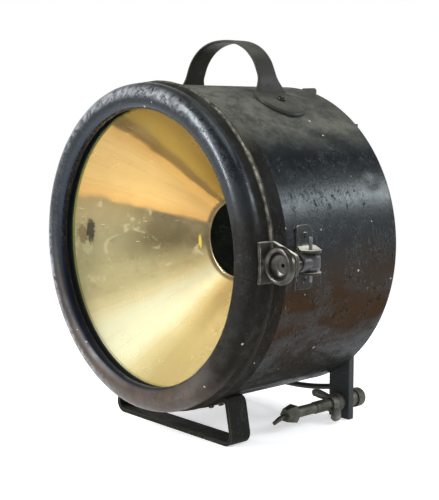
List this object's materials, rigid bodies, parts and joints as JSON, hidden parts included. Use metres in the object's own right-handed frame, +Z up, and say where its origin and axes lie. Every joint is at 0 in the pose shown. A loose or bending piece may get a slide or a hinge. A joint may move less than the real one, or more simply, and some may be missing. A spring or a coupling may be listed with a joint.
{
  "type": "follow spot",
  "caption": "Round drum spotlight with a hinged glass door, brass reflector, focusing lamp, top carrying handle, front stirrup foot and rear legs with clamp bolts and wing nuts.",
  "frame": {"origin": "middle of the front stirrup's foot, where it stands on the ground", "axes": "+X to the latch side, -Y to the front where the beam leaves, +Z up"},
  "size_m": [0.4675, 0.3435, 0.488],
  "materials": {
    "ring_paint": "semi-gloss dark slate enamel, chipped along its crests",
    "drum_paint": "worn dark slate enamel with brown grime low down and dust on top",
    "hatch_paint": "worn dark slate enamel",
    "inner_paint": "matt navy black",
    "brass_mirror": "polished and tarnished, with fine radial scratches",
    "clip_steel": "dull plated",
    "clear_glass": "clear and slightly dusty",
    "bulb_glass": "clear envelope",
    "black_rubber": "matt aged",
    "worn_olive": "worn grey-olive enamel over steel",
    "stirrup_metal": "worn grey enamel with rust specks",
    "leg_paint": "worn dark enamel",
    "rivet_metal": "dull painted-over heads",
    "dark_steel": "oiled dark steel",
    "clamp_steel": "aged plated steel",
    "wing_steel": "cast and worn",
    "latch_metal": "worn olive-grey plating",
    "aged_brass": "dull aged brass",
    "tube_nickel": "dull nickel plate",
    "black_fibre": "black moulded phenolic"
  },
  "bodies": {
    "housing": {"drum_shell": "drum_paint", "front_band": "drum_paint", "seat_ring": "inner_paint", "reflector": "brass_mirror", "reflector_clips": "clip_steel", "clip_screws": "clip_steel", "back_plate": "drum_paint", "hatch_brackets": "worn_olive", "hatch_pins": "dark_steel", "handle": "worn_olive", "handle_rivets": "rivet_metal", "front_stirrup": "stirrup_metal", "stirrup_rivets": "rivet_metal", "rear_leg_right": "leg_paint", "rear_leg_left": "leg_paint", "leg_bolts": "dark_steel", "leg_nuts": "dark_steel", "leg_brace": "dark_steel", "clamp_bolts": "clamp_steel", "clamp_washers": "clamp_steel", "clamp_spacers": "clamp_steel", "cone_nuts": "clamp_steel", "clamp_tails": "clamp_steel", "hinge_drum_leaf": "worn_olive", "hinge_pin": "dark_steel", "hinge_rivets": "rivet_metal", "latch_bracket": "worn_olive", "latch_rivets": "rivet_metal", "latch_pin": "dark_steel", "latch_nut": "latch_metal", "focus_bush": "aged_brass", "bush_screws": "dark_steel"},
    "front_door": {"door_ring": "ring_paint", "front_glass": "clear_glass", "glass_gasket": "black_rubber", "glass_retainer": "inner_paint", "door_seal": "black_rubber", "door_lug": "ring_paint", "hinge_door_leaf": "worn_olive"},
    "thumbscrew": {"thumb_screw": "latch_metal", "screw_collar": "latch_metal", "split_pin": "latch_metal"},
    "lamp_carriage": {"lamp_tube": "tube_nickel", "lamp_holder": "black_fibre", "bulb_cap": "aged_brass", "lamp_bulb": "bulb_glass", "tube_end_cap": "black_fibre", "cable_gland": "black_fibre"},
    "focus_clamp": {"focus_screw": "black_fibre"},
    "rear_hatch": {"hatch_plate": "hatch_paint", "hatch_leaves": "worn_olive", "hatch_knob": "black_fibre"},
    "clamp_wing_right": {"wing_nut_right": "wing_steel"},
    "clamp_wing_left": {"wing_nut_left": "wing_steel"}
  },
  "joints": [
    {"name": "door_hinge", "type": "hinge", "parent": "housing", "child": "front_door", "pos_m": [-0.211, -0.0275, 0.2325], "axis": [0, 0, -1], "range_deg": [0, 110]},
    {"name": "thumbscrew_spin", "type": "hinge", "parent": "front_door", "child": "thumbscrew", "pos_m": [0.229, -0.0385, 0.2351], "axis": [0, 1, 0], "continuous": true},
    {"name": "lamp_focus", "type": "slide", "parent": "housing", "child": "lamp_carriage", "axis": [0, -1, 0], "range_m": [0, 0.045]},
    {"name": "focus_clamp_spin", "type": "hinge", "parent": "housing", "child": "focus_clamp", "pos_m": [0.02, 0.1945, 0.2325], "axis": [1, 0, 0], "continuous": true},
    {"name": "hatch_hinge", "type": "hinge", "parent": "housing", "child": "rear_hatch", "pos_m": [0, 0.1865, 0.4239], "axis": [1, 0, 0], "range_deg": [0, 100]},
    {"name": "right_wing_spin", "type": "hinge", "parent": "housing", "child": "clamp_wing_right", "pos_m": [0.1078, 0.1655, 0.021], "axis": [0, 1, 0], "continuous": true},
    {"name": "left_wing_spin", "type": "hinge", "parent": "housing", "child": "clamp_wing_left", "pos_m": [-0.1078, 0.1655, 0.021], "axis": [0, 1, 0], "continuous": true}
  ]
}
